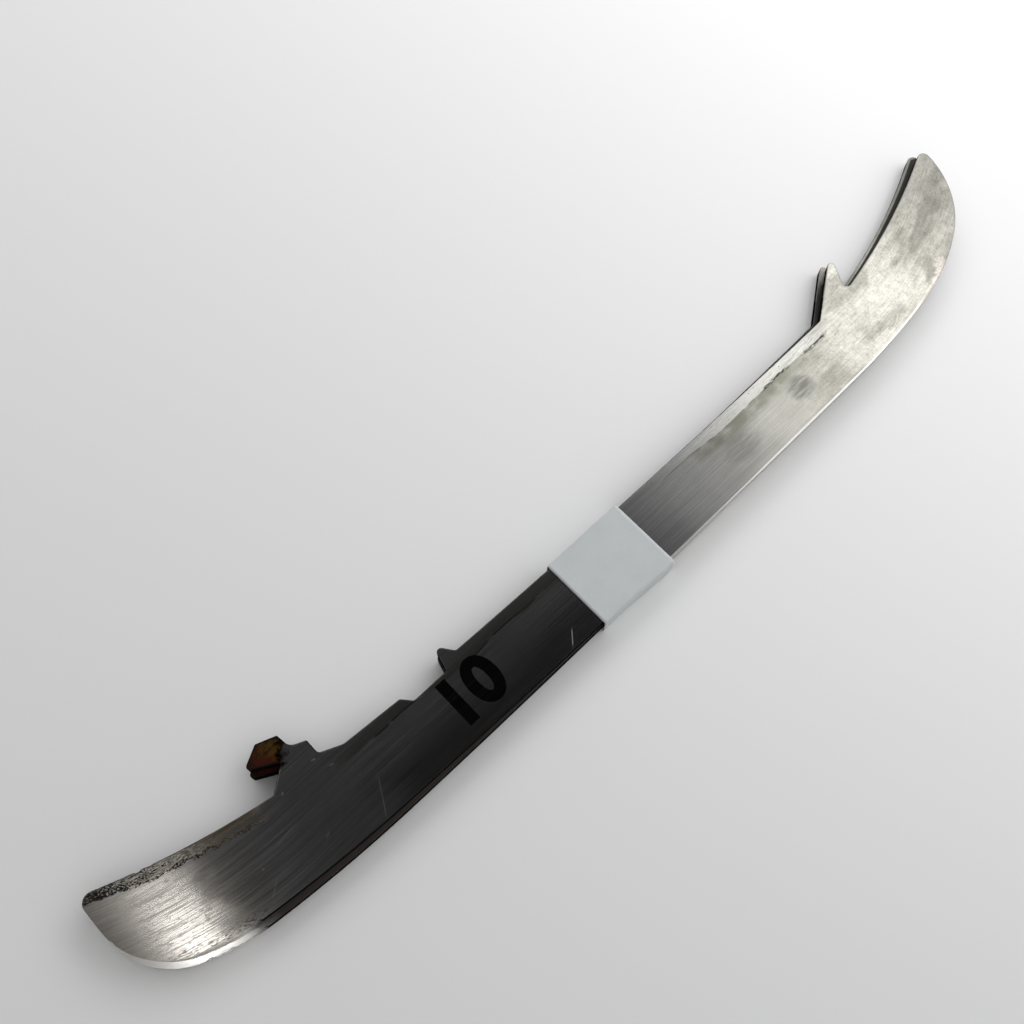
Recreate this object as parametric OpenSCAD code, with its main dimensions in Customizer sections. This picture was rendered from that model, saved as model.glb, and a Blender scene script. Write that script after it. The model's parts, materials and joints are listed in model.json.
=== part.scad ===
// A pair of hockey skate runners, laid face to face and held together by a paper label band.
// The outline is drawn with x = 0 at the middle of the label, +X towards the toe,
// y = 0 at the lowest point of the ice edge and +Y towards the edge that the holder takes.
// In the finished part the origin is the middle of the label's underside, and +Z is up.

/* [Plate] */
// Thickness of each runner
runner_t = 3; // [2.4:0.1:4]
// Height from the ice edge to the top edge, where the top edge is lowest
body_h = 18.45; // [15:0.05:24]
// Place along the runner where the top edge is lowest
top_x = 40; // [30:1:50]
// Radius of the hollow top edge
top_r = 2900; // [2000:50:5000]
// Place along the runner where the ice edge is lowest
rocker_x = 4.5; // [-5:0.5:15]
// Radius of the ice edge in the middle
rocker_r = 3800; // [2500:50:6000]

/* [Toe] */
// Distance from the start of the ice edge's lift to the foot of the front hook
front_lead = 4.1; // [0:0.1:10]
// Radius of that lift
front_r = 211; // [160:1:280]
// Slope where the toe's sweep starts, in degrees
sweep_angle = 9.8; // [7:0.2:12.6]
// Radius of the toe's sweep
sweep_r = 60; // [50:1:75]
// Slope where the toe's front curve starts, in degrees
toe_angle = 31.5; // [25:0.5:38]
// Radius of the toe's front curve
toe_r = 31; // [27:0.5:36]
// Radius of the toe's tip
tip_r = 1.7; // [1:0.1:3]
// Radius of the toe's inner edge
toe_inner_r = 194; // [160:1:240]
// Slope of the inner edge where it leaves the throat, in degrees
toe_inner_slope = 9.5; // [7:0.5:12]

/* [Heel] */
// Distance from the middle hook back to the start of the ice edge's lift
back_lead = 26.3; // [18:0.1:34]
// Radius of that lift
back_r = 398; // [300:1:600]
// Slope where the heel's sweep starts, in degrees
heel_sweep_angle = 7; // [5:0.25:9]
// Radius of the heel's sweep
heel_sweep_r = 67; // [55:1:80]
// Slope where the heel's end curve starts, in degrees
heel_angle = 22.5; // [18:0.5:27]
// Radius of the heel's end curve
heel_r = 20.3; // [17:0.1:25]
// Radius of the heel's top corner
heel_corner_r = 2.6; // [1.5:0.1:4]
// Radius of the heel's hollow top edge
heel_top_r = 221; // [180:1:280]
// Slope of that edge at the foot of the rear post, in degrees
heel_top_slope = 9.6; // [7:0.2:12]

/* [Front hook] */
// Place of the hook's foot
front_hook_x = 89.6; // [80:0.2:95]
// Length of the hook's back, from its foot to the point of its two sides
front_hook_run = 18.5; // [15:0.25:21]
// Height of that point over the foot
front_hook_rise = 12.65; // [10.5:0.05:14.5]
// Radius of the hook's tip
front_hook_tip_r = 1.1; // [0.5:0.05:1.4]
// Distance from the hook's point back to the corner of the throat
throat_run = 6.35; // [5.4:0.05:7.4]
// Height of the throat's corner over the hook's foot
throat_rise = 1.3; // [0.2:0.05:2]
// Radius of the throat
throat_r = 1.2; // [0.6:0.05:1.6]

/* [Middle hook and seat] */
// Place of the foot of the middle hook's holding face
mid_hook_x = -48.2; // [-52:0.2:-45]
// Depth of the seat under the top edge
seat_drop = 2.2; // [1.5:0.05:3]
// Length of the seat
seat_w = 10.4; // [8:0.1:13]
// Height of the middle hook's point over the seat
mid_hook_h = 6.75; // [5.2:0.05:7.6]
// Lean of its holding face towards the toe
mid_hook_lean = 1.9; // [1.4:0.05:2.4]
// Length of its foot
mid_hook_w = 5.2; // [4.6:0.1:6.2]
// Radius of its tip
mid_hook_tip_r = 1.05; // [0.5:0.05:1.2]

/* [Land and rear post] */
// Length of the ramp from the seat up to the land
ramp_run = 2.3; // [1.6:0.1:3.4]
// Height of the ramp
land_rise = 2.7; // [2:0.1:3.4]
// Length of the land
land_w = 16.7; // [13:0.1:20]
// Climb of the land towards the heel
land_climb = 1.15; // [0:0.05:2]
// Length of the slope at the post's foot
post_run = 5.8; // [4.5:0.1:8]
// Height of that slope
post_rise = 2.55; // [1.5:0.05:3.5]
// Height of the post's shoulder over the slope
shoulder_h = 4.2; // [3.2:0.1:5.2]
// Length of the neck behind the shoulder
neck_run = 3.9; // [3.2:0.1:4.8]
// Climb of the neck
neck_rise = 1.7; // [1:0.1:2.3]

/* [Rear tab] */
// Height of the tab's front face over the neck
tab_face_h = 4; // [3.2:0.1:5]
// Length of the tab's sloping top
tab_top_run = 5.15; // [4:0.05:6.5]
// Climb of the top to the tab's highest corner
tab_top_rise = 1.95; // [1:0.05:2.6]
// Length of the tab's back, from the highest corner to its tip
tab_back_run = 6.05; // [4.8:0.05:7]
// Drop of the back
tab_back_drop = 3.25; // [2.4:0.05:4]
// Length of the tab's underside, from its tip into the notch
notch_run = 7.8; // [6:0.1:8.6]
// Drop of the underside
notch_drop = 4.3; // [3.4:0.1:5]
// Length of the post's back, from the notch to its foot
post_back_run = 6.2; // [4.8:0.1:7]
// Drop of the post's back
post_back_drop = 4.7; // [3.8:0.1:5.4]

/* [Fillets] */
// Radius of the plain corners
corner_r = 0.5; // [0.2:0.05:0.7]
// Radius of the rear tab's tip
tab_tip_r = 0.95; // [0.5:0.05:1.2]
// Radius of the hollow corners at the foot of a step
foot_r = 1.1; // [0.5:0.1:1.4]
// Radius of the hollow of the neck
neck_r = 2.4; // [1:0.1:2.6]
// Radius where a slope runs out into an edge
blend_r = 1.6; // [0.6:0.1:2]

/* [Stack] */
// Angle between the two runners, in degrees
fan_angle = 0.76; // [0:0.02:1.2]
// Shift of the lower runner towards the heel
fan_shift = 0.35; // [0:0.05:1]
// Space between the two runners
plate_gap = 0.1; // [0.05:0.05:0.5]

/* [Label] */
// Width of the label, along the runners
label_w = 24; // [12:1:36]
// Thickness of the label's paper
label_t = 0.2; // [0.1:0.05:0.4]
// Thickness of the glue in the lap
glue_t = 0.1; // [0.05:0.05:0.3]
// Length of the lap
lap_w = 6; // [3:0.5:8]
// Radius inside the folds
fold_r = 0.3; // [0.1:0.05:0.5]
// Slack between the paper and the runners' top edge
top_slack = 0.55; // [0.4:0.05:1.5]
// Slack between the paper and the ice edge
ice_slack = 0.5; // [0.4:0.05:1.5]
// Slack between the paper and the runners' faces
face_slack = 0.05; // [0.05:0.05:0.3]

/* [Hidden] */
steel = [0.62, 0.62, 0.63];
paper = [0.93, 0.94, 0.94];
glue = [0.85, 0.82, 0.7];
long_n = 14;
round_n = 14;
heel_top_n = 10;
fillet_n = 6;

// Heights of the layers, from the table up
start_z = label_t + glue_t;
lower_z = start_z + label_t + face_slack;
upper_z = lower_z + runner_t + plate_gap;
roof_z = upper_z + runner_t + face_slack;
middle_y = body_h / 2;

// Helpers for arcs and corners
function polar(r, a) = r * [cos(a), sin(a)];
function turn(v) = atan2(v[1], v[0]);
function unit(v) = v / norm(v);
function arc(c, r, from, to, n) = [for (i = [0 : n]) c + polar(r, from + (to - from) * i / n)];

// Where two circles cross, on one side of the line through their centres
function crossing(c0, r0, c1, r1, side) =
    let (d = norm(c1 - c0), u = (c1 - c0) / d, a = (r0 * r0 - r1 * r1 + d * d) / (2 * d))
    c0 + a * u + side * sqrt(r0 * r0 - a * a) * [-u[1], u[0]];

// Points of a corner p of radius r between its neighbours a and b
function fillet(a, p, b, r) =
    let (u = unit(a - p), v = unit(b - p), half = acos(u * v) / 2)
    let (c = p + unit(u + v) * r / sin(half), from = turn(p + u * r / tan(half) - c))
    let (to = turn(p + v * r / tan(half) - c), sweep = to - from)
    arc(c, r, from, from + (sweep > 180 ? sweep - 360 : sweep < -180 ? sweep + 360 : sweep), fillet_n);

function flat2(p) = [p[0], p[1]];

// A closed outline of [x, y, radius] corners, with each corner rounded
function rounded(pts) =
    let (n = len(pts))
    [for (i = [0 : n - 1])
        let (p = pts[i], a = pts[(i + n - 1) % n], b = pts[(i + 1) % n])
        each p[2] == undef || p[2] == 0 ? [flat2(p)] : fillet(flat2(a), flat2(p), flat2(b), p[2])];

// Part of a list, from one index up to and including another
function slice(l, from, to) = [for (i = [from : to]) l[i]];

// A list without its first point, for an arc that goes on from the one before
function onward(l) = slice(l, 1, len(l) - 1);

// Top edge, hollow towards the holder
top_c = [top_x, body_h + top_r];
function top_angle(x) = asin((x - top_x) / top_r) - 90;
function top_edge(x) = top_c + polar(top_r, top_angle(x));

// Front hook and throat
front_foot = top_edge(front_hook_x);
front_point = front_foot + [front_hook_run, front_hook_rise];
throat = [front_point[0] - throat_run, front_foot[1] + throat_rise];

// Middle hook, seat, land and rear hook, each placed from the one before
mid_back = top_edge(mid_hook_x + mid_hook_w);
seat_front = [mid_hook_x, mid_back[1] - seat_drop];
mid_point = seat_front + [mid_hook_lean, mid_hook_h];
seat_back = seat_front - [seat_w, 0];
land_front = seat_back + [-ramp_run, land_rise];
land_back = land_front + [-land_w, land_climb];
shoulder_foot = land_back + [-post_run, post_rise];
shoulder = shoulder_foot + [0, shoulder_h];
neck = shoulder + [-neck_run, neck_rise];
tab_front = neck + [0, tab_face_h] - [tab_face_h / 8, 0];
tab_top = tab_front + [-tab_top_run, tab_top_rise];
tab_tip = tab_top - [tab_back_run, tab_back_drop];
notch = tab_tip + [notch_run, -notch_drop];
post_back = notch - [post_back_run, post_back_drop];

// Ice edge: tangent arcs from the middle to the toe, and from the middle to the heel
front_x = front_hook_x - front_lead;
back_x = mid_hook_x - back_lead;
rocker_c = [rocker_x, rocker_r];
front_angle = asin((front_x - rocker_x) / rocker_r);
front_c = rocker_c + polar(rocker_r - front_r, front_angle - 90);
sweep_c = front_c + polar(front_r - sweep_r, sweep_angle - 90);
toe_c = sweep_c + polar(sweep_r - toe_r, toe_angle - 90);
back_angle = asin((rocker_x - back_x) / rocker_r);
back_c = rocker_c + polar(rocker_r - back_r, 270 - back_angle);
heel_sweep_c = back_c + polar(back_r - heel_sweep_r, 270 - heel_sweep_angle);
heel_c = heel_sweep_c + polar(heel_sweep_r - heel_r, 270 - heel_angle);

// Tip of the toe, between the front curve and the inner edge
toe_inner_c = throat + polar(toe_inner_r, 90 + toe_inner_slope);
tip_c = crossing(toe_c, toe_r - tip_r, toe_inner_c, toe_inner_r + tip_r, -1);

// Top corner of the heel, where its straight end meets the top edge
heel_top_c = post_back + polar(heel_top_r, 90 - heel_top_slope);
heel_end_x = heel_c[0] - heel_r;
heel_top_end = 270 - asin((heel_top_c[0] - heel_end_x) / heel_top_r);
heel_corner = heel_top_c + polar(heel_top_r, heel_top_end);

ice_front = concat(
    onward(arc(rocker_c, rocker_r, -90, front_angle - 90, long_n)),
    onward(arc(front_c, front_r, front_angle - 90, sweep_angle - 90, long_n)),
    onward(arc(sweep_c, sweep_r, sweep_angle - 90, toe_angle - 90, round_n)),
    onward(arc(toe_c, toe_r, toe_angle - 90, turn(tip_c - toe_c), round_n)),
    onward(arc(tip_c, tip_r, turn(tip_c - toe_c), turn(toe_inner_c - tip_c), round_n)));

toe_inner = arc(toe_inner_c, toe_inner_r, turn(tip_c - toe_inner_c), toe_inner_slope - 90, round_n);

top_middle = arc(top_c, top_r, top_angle(front_foot[0]), top_angle(mid_back[0]), 2 * long_n);

heel_top = arc(heel_top_c, heel_top_r, 270 - heel_top_slope, heel_top_end, heel_top_n);

ice_back = concat(
    arc(heel_c, heel_r, 180, 270 - heel_angle, round_n),
    onward(arc(heel_sweep_c, heel_sweep_r, 270 - heel_angle, 270 - heel_sweep_angle, round_n)),
    onward(arc(back_c, back_r, 270 - heel_sweep_angle, 270 - back_angle, long_n)),
    onward(arc(rocker_c, rocker_r, 270 - back_angle, 270, long_n)));

function corner(p, r) = [p[0], p[1], r];

runner_outline = rounded(concat(
    ice_front,
    slice(toe_inner, 1, round_n - 1),
    [corner(throat, throat_r), corner(front_point, front_hook_tip_r), corner(front_foot, blend_r)],
    slice(top_middle, 1, 2 * long_n - 1),
    [corner(mid_back, foot_r), corner(mid_point, mid_hook_tip_r), corner(seat_front, corner_r)],
    [corner(seat_back, foot_r), corner(land_front, foot_r), corner(land_back, blend_r)],
    [corner(shoulder_foot, foot_r), corner(shoulder, corner_r), corner(neck, neck_r)],
    [corner(tab_front, corner_r), corner(tab_top, corner_r), corner(tab_tip, tab_tip_r)],
    [corner(notch, corner_r), corner(post_back, corner_r)],
    slice(heel_top, 1, heel_top_n - 1),
    [corner(heel_corner, heel_corner_r)],
    ice_back));

// One runner, flat, with its underside at z = 0 and the label's middle at the origin
module runner() {
    color(steel)
        linear_extrude(runner_t)
            translate([0, -middle_y])
                polygon(runner_outline);
}

module upper_runner() {
    translate([0, 0, upper_z])
        runner();
}

module lower_runner() {
    translate([-fan_shift, 0, lower_z])
        rotate(fan_angle)
            runner();
}

// Walls of the label, measured in the frame of the finished part
wall_top = top_edge(-label_w / 2)[1] + top_slack - middle_y;
wall_ice = -ice_slack - middle_y;

// Section of the label across the runners: start, top-edge fold, roof, ice-edge fold and tail
label_section = rounded([
    [-lap_w / 2, start_z + label_t],
    [wall_top, start_z + label_t, fold_r],
    [wall_top, roof_z, fold_r],
    [wall_ice, roof_z, fold_r],
    [wall_ice, label_t, fold_r],
    [lap_w / 2, label_t],
    [lap_w / 2, 0],
    [wall_ice - label_t, 0, fold_r + label_t],
    [wall_ice - label_t, roof_z + label_t, fold_r + label_t],
    [wall_top + label_t, roof_z + label_t, fold_r + label_t],
    [wall_top + label_t, start_z, fold_r + label_t],
    [-lap_w / 2, start_z]]);

// A drawing of the section, in y and z, pulled along the runners
module along_runners(length) {
    translate([-length / 2, 0, 0])
        rotate([90, 0, 90])
            linear_extrude(length)
                children();
}

module label_band() {
    color(paper)
        along_runners(label_w)
            polygon(label_section);
}

module label_adhesive() {
    color(glue)
        along_runners(label_w)
            translate([-lap_w / 2, label_t])
                square([lap_w, glue_t]);
}

lower_runner();
upper_runner();
label_band();
label_adhesive();
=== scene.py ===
import json
import math

import bpy
import numpy as np
from mathutils import Matrix, Vector
from mathutils.geometry import delaunay_2d_cdt


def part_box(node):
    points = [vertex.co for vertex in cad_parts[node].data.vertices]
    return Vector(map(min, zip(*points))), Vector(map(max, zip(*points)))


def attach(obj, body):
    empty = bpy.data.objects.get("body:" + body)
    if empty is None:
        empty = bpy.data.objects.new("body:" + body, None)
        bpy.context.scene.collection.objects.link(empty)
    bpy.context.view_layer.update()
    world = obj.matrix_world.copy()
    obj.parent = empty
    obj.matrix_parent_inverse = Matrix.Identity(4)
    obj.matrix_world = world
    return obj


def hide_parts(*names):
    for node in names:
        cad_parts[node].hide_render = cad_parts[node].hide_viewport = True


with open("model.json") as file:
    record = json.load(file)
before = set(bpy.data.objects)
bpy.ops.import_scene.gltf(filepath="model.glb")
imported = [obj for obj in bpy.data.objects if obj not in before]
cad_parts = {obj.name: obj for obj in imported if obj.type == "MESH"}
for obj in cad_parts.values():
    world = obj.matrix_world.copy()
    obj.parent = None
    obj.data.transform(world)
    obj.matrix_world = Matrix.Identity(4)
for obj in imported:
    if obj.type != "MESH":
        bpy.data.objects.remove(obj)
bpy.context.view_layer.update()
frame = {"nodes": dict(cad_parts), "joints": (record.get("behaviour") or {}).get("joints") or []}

MM = 0.001

# Camera: the point of the upper face in the middle of the picture, and how it is seen
VIEW_POINT = (-8.27, 27.0)      # mm in the part's frame
VIEW_HEADING = 46.33            # degrees from +X towards +Y: up the picture
VIEW_TILT = 21.0                # degrees from straight down
VIEW_DISTANCE = 316.7           # mm along the line of sight
VIEW_LENS = 43.95               # mm
VIEW_SENSOR = 36.0              # mm
VIEW_NEAR = 0.01                # m
VIEW_FAR = 50                   # m

HEADING = math.radians(VIEW_HEADING)
PICTURE_UP = Vector((math.cos(HEADING), math.sin(HEADING), 0))
PICTURE_RIGHT = Vector((math.sin(HEADING), -math.cos(HEADING), 0))
STRAIGHT_UP = Vector((0, 0, 1))

UPPER_LOW, UPPER_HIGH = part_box("upper_runner")
LOWER_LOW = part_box("lower_runner")[0]
LABEL_LOW, LABEL_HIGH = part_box("label_band")
GLUE_LOW, GLUE_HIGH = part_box("label_adhesive")
PLATE = UPPER_HIGH.z - UPPER_LOW.z
ICE_LEVEL = UPPER_LOW.y         # the lowest point of the ice edge


class Shader:
    """Adds nodes to a node tree; an input is a plain value or another node's output."""

    def __init__(self, tree):
        self.tree = tree
        tree.nodes.clear()

    def node(self, kind, inputs=None, **settings):
        made = self.tree.nodes.new(kind)
        for name, value in settings.items():
            setattr(made, name, value)
        for name, value in (inputs or {}).items():
            self.feed(made.inputs[name], value)
        return made

    def feed(self, socket, value):
        if isinstance(value, bpy.types.NodeSocket):
            self.tree.links.new(value, socket)
        else:
            socket.default_value = value

    def math(self, operation, a, b=0.0):
        return self.node("ShaderNodeMath", {0: a, 1: b}, operation=operation).outputs[0]

    def joined(self, operation, first, others):
        for other in others:
            first = self.math(operation, first, other)
        return first

    def product(self, first, *others):
        return self.joined("MULTIPLY", first, others)

    def total(self, first, *others):
        return self.joined("ADD", first, others)

    def most(self, first, *others):
        return self.joined("MAXIMUM", first, others)

    def less(self, value, other):
        return self.math("SUBTRACT", value, other)

    def rest(self, share):
        """What a share leaves of 1."""
        return self.less(1.0, share)

    def magnitude(self, value):
        return self.math("ABSOLUTE", value)

    def span(self, value, start, end, low=0.0, high=1.0):
        """Goes smoothly from low to high as value goes from start to end."""
        inputs = {"Value": value, "From Min": start, "From Max": end, "To Min": low, "To Max": high}
        return self.node("ShaderNodeMapRange", inputs, interpolation_type="SMOOTHSTEP").outputs[0]

    def vary(self, noise, low, high, reach=0.2):
        """Goes from low to high as a noise goes from a reach under its mean to a reach over it."""
        return self.span(noise, 0.5 - reach, 0.5 + reach, low, high)

    def window(self, value, start, end, soft):
        """1 between start and end, and 0 outside, with soft sides."""
        rise = self.span(value, start - soft, start + soft)
        return self.product(rise, self.span(value, end + soft, end - soft))

    def mix(self, share, a, b):
        made = self.node("ShaderNodeMix", data_type="RGBA", clamp_factor=True)
        for index, value in ((0, share), (6, a), (7, b)):
            self.feed(made.inputs[index], value)
        return made.outputs[2]

    def tint(self, colour, value):
        """A colour times a grey value."""
        return self.node("ShaderNodeVectorMath", {0: colour, 3: value}, operation="SCALE").outputs[0]

    def vector(self, x, y, z=0.0):
        return self.node("ShaderNodeCombineXYZ", {0: x, 1: y, 2: z}).outputs[0]

    def dot(self, a, b):
        return self.node("ShaderNodeVectorMath", {0: a, 1: b}, operation="DOT_PRODUCT").outputs["Value"]

    def noise(self, at, scale, detail=2.0, rough=0.5):
        inputs = {"Vector": at, "Scale": scale, "Detail": detail, "Roughness": rough}
        return self.node("ShaderNodeTexNoise", inputs).outputs[0]

    def bump(self, strength, distance, height):
        inputs = {"Strength": strength, "Distance": distance, "Height": height}
        return self.node("ShaderNodeBump", inputs).outputs[0]

    def coordinates(self, kind):
        return self.node("ShaderNodeTexCoord").outputs[kind]

    def attribute(self, name):
        return self.node("ShaderNodeAttribute", attribute_name=name).outputs["Fac"]


def new_material(name):
    material = bpy.data.materials.new(name)
    material.use_nodes = True
    return material, Shader(material.node_tree)


def finish_material(shader, **inputs):
    """Adds the surface shader, with inputs named in lower case, and the output."""
    named = {name.replace("_", " ").title().replace("Ior", "IOR"): value for name, value in inputs.items()}
    surface = shader.node("ShaderNodeBsdfPrincipled", named)
    shader.node("ShaderNodeOutputMaterial", {"Surface": surface.outputs[0]})


# Colours of the steel and of what lies on it
STEEL = (0.40, 0.40, 0.40, 1)
STEEL_TOE = (0.41, 0.40, 0.355, 1)
STEEL_HEEL = (0.465, 0.44, 0.405, 1)
STEEL_GROUND = (0.62, 0.62, 0.60, 1)
STEEL_WORN = (0.15, 0.147, 0.14, 1)
AMBER = (0.050, 0.026, 0.003, 1)
RED_RUST = (0.038, 0.006, 0.002, 1)
BROWN = (0.014, 0.008, 0.004, 1)
PIT_BLACK = (0.006, 0.005, 0.004, 1)
PIT_WHITE = (0.55, 0.51, 0.45, 1)
RESIDUE = (0.004, 0.004, 0.003, 1)
SLOT_STAIN = (0.19, 0.185, 0.14, 1)
SLOT_FILM = (0.14, 0.14, 0.105, 1)
HEEL_STAIN = (0.19, 0.172, 0.145, 1)
HEEL_BROWN = (0.045, 0.026, 0.009, 1)
CLOUD_DARK = (0.20, 0.194, 0.168, 1)
CLOUD_PALE = (0.50, 0.485, 0.45, 1)
TOE_RUBBED = (0.66, 0.61, 0.56, 1)
# The next colour is painted shade on the runner under the other one, with some grime
GRIME_AND_SHADE = (0.012, 0.012, 0.011, 1)
EDGE_BLACK = (0.007, 0.007, 0.007, 1)
EDGE_RUST = (0.022, 0.012, 0.006, 1)
EDGE_BROWN = (0.046, 0.036, 0.034, 1)
ICE_PALE = (0.86, 0.84, 0.80, 1)
SMUDGE = (0.10, 0.10, 0.088, 1)
ETCH_BLACK = (0.002, 0.002, 0.002, 1)
ETCH_WORN = (0.02, 0.02, 0.02, 1)

# Colours of the label and of its glue
PAPER = (0.545, 0.575, 0.585, 1)
PAPER_HANDLED = (0.50, 0.525, 0.53, 1)
GLUE_DARK = (0.66, 0.60, 0.45, 1)
GLUE_PALE = (0.74, 0.70, 0.57, 1)

# Reach round a noise's mean that takes in nearly all of its values
WIDE = 0.25

# Bend of the grinding lines: where it starts in mm, and how much the lines rise per square mm
HEEL_BEND_AT = -100.0
HEEL_BEND = 0.0043
TOE_BEND_AT = 95.0
TOE_BEND = 0.005

# Shares of a scratch: the core of its width, and the soft ends of its length
STROKE_CORE = 0.3
STROKE_FADE = 0.2


class Place:
    """Where a point of a runner lies, in mm, and the grinding lines and marks there."""

    def __init__(self, s):
        self.object = s.coordinates("Object")
        parts = s.node("ShaderNodeSeparateXYZ", {0: s.tint(self.object, 1 / MM)}).outputs
        self.along = parts[0]
        self.up = s.less(parts[1], ICE_LEVEL / MM)
        self.depth = parts[2]
        self.spot = s.vector(self.along, self.up)
        self.from_mount = s.attribute("from_mount")
        self.from_ice = s.attribute("from_ice")

    def grain(self, s, length, width, detail=3.0):
        """Streaks of a length and width in mm, which run along the runner and bend at its ends."""
        heel = s.most(s.less(HEEL_BEND_AT, self.along), 0.0)
        toe = s.most(s.less(self.along, TOE_BEND_AT), 0.0)
        rise = s.total(s.product(heel, heel, HEEL_BEND), s.product(toe, toe, TOE_BEND))
        across = s.less(self.up, rise)
        at = s.vector(s.product(self.along, 1 / length), s.product(across, 1 / width))
        return s.noise(at, 1.0, detail)

    def stroke(self, s, start, end, half):
        """A straight mark between two places; half is half its width."""
        way = Vector(end) - Vector(start)
        length = way.length
        way.normalize()
        x = s.less(self.along, start[0])
        y = s.less(self.up, start[1])
        run = s.total(s.product(x, way.x), s.product(y, way.y))
        aside = s.less(s.product(y, way.x), s.product(x, way.y))
        line = s.span(s.magnitude(aside), half, half * STROKE_CORE)
        return s.product(line, s.window(run, 0, length, length * STROKE_FADE))

    def soft_spot(self, s, centre, reach):
        """1 at a place and 0 at its reach along and across the runner."""
        x = s.product(s.less(self.along, centre[0]), 1 / reach[0])
        y = s.product(s.less(self.up, centre[1]), 1 / reach[1])
        return s.span(s.total(s.product(x, x), s.product(y, y)), 1.0, 0.1)


# Broad tone of the faces: stretches in mm along the runner, and a height in mm over the ice level
TOE_TONE = (10, 80)
HEEL_TONE = (-104, -122)
DULL_FRONT = (34, 78)
DULL_UNDER = (15.0, 9.0)


def broad_tone(s, p, coarse, fine):
    """Plain steel: darker in the middle, warm and hazy on the toe, brighter on the heel."""
    toe = s.span(p.along, *TOE_TONE)
    heel = s.span(p.along, *HEEL_TONE)
    colour = s.mix(toe, STEEL, STEEL_TOE)
    colour = s.mix(heel, colour, STEEL_HEEL)
    lines = s.total(s.vary(coarse, 0.88, 1.08, WIDE), s.vary(fine, -0.08, 0.08, WIDE))
    blotch = s.vary(s.noise(p.spot, 0.06, 4.0, 0.6), 0.93, 1.07)
    colour = s.tint(colour, s.product(lines, blotch))
    dull = s.product(s.span(p.up, *DULL_UNDER), s.window(p.along, *DULL_FRONT, 10), 0.12)
    return s.tint(colour, s.rest(dull)), toe, heel


# Marks on the toe: stretches in mm along the runner, and a spot by its place and reach in mm
CLOUDS_GROW = (45, 95)
TIP_SPOT = ((143.5, 24.5), (6.0, 7.0))
STAINED_BESIDE = (114, 142)
SOILED_HOOK = (92, 111)
RUBBED_RIM = (118, 139)
TIP_DULLS = (106, 144)
TIP_KEEPS = 0.54                # share of the tip's brightness


def toe_clouds(s, p, colour):
    """Cloudy, handled patches on the toe, a soiled hook and a rubbed rim."""
    on_toe = s.span(p.along, *CLOUDS_GROW)
    cloud = p.grain(s, 15.0, 8.0, 6.0)
    patch = s.product(s.span(cloud, 0.49, 0.62), on_toe)
    tip = p.soft_spot(s, *TIP_SPOT)
    beside = s.product(s.window(p.along, *STAINED_BESIDE, 4), s.span(p.from_mount, 5.5, 0.8), 0.7)
    hook = s.product(s.window(p.along, *SOILED_HOOK, 3), s.span(p.from_mount, 1.8, 0.2))
    hook = s.product(hook, s.span(cloud, 0.35, 0.55, 0.4, 1.0))
    grey = s.most(s.product(patch, 0.5), s.product(s.most(tip, beside), 0.35), s.product(hook, 0.6))
    colour = s.mix(grey, colour, CLOUD_DARK)
    pale = s.product(s.span(cloud, 0.47, 0.34), on_toe)
    colour = s.mix(s.product(pale, 0.35), colour, CLOUD_PALE)
    rubbed = s.product(s.window(p.along, *RUBBED_RIM, 5), s.span(p.from_ice, 5.0, 1.0))
    rubbed = s.product(rubbed, s.span(s.noise(p.spot, 0.24, 4.0, 0.65), 0.44, 0.58), 0.7)
    colour = s.mix(rubbed, colour, TOE_RUBBED)
    return s.tint(colour, toe_shade(s, p, on_toe)), s.most(patch, grey)


def toe_shade(s, p, on_toe):
    """Specks, mottling and streaks on the toe, which gets duller towards its tip."""
    speckle = s.vary(s.noise(p.spot, 1.5, 3.0, 0.6), 0.86, 1.08)
    mottle = s.vary(s.noise(p.spot, 0.4, 6.0, 0.7), -0.16, 0.14)
    streak = s.vary(p.grain(s, 6.0, 0.5, 4.0), -0.09, 0.06)
    elsewhere = s.span(on_toe, 0.0, 1.0, 1.0, 0.0)
    shade = s.total(elsewhere, s.product(on_toe, s.total(speckle, mottle, streak)))
    return s.product(shade, s.span(p.along, *TIP_DULLS, 1.0, TIP_KEEPS))


# The band that the holder covered: the height of its lower edge, the lip, in mm over the ice level
# behind and before the seat, how far it wanders, and stretches in mm along the runner
LIP_REAR = 17.5
LIP_FRONT = 15.6
LIP_STEP = (-60, -46)
LIP_WANDER = 0.6
STAINED_BAND = (-80, -10)
SCOURED_GROWS = (14, 58)
SCOURED_ENDS = (94, 82)
FILM_BELOW = (36, 76)
OLIVE_LINE = (26, 60)
BLACK_LINES = ((-73, -56), (-44, -18))
BLACK_CLOTS = ((63, 73, 1.5), (79, 88, 2))
SPECKED_FRONT = (20, 90)


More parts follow.
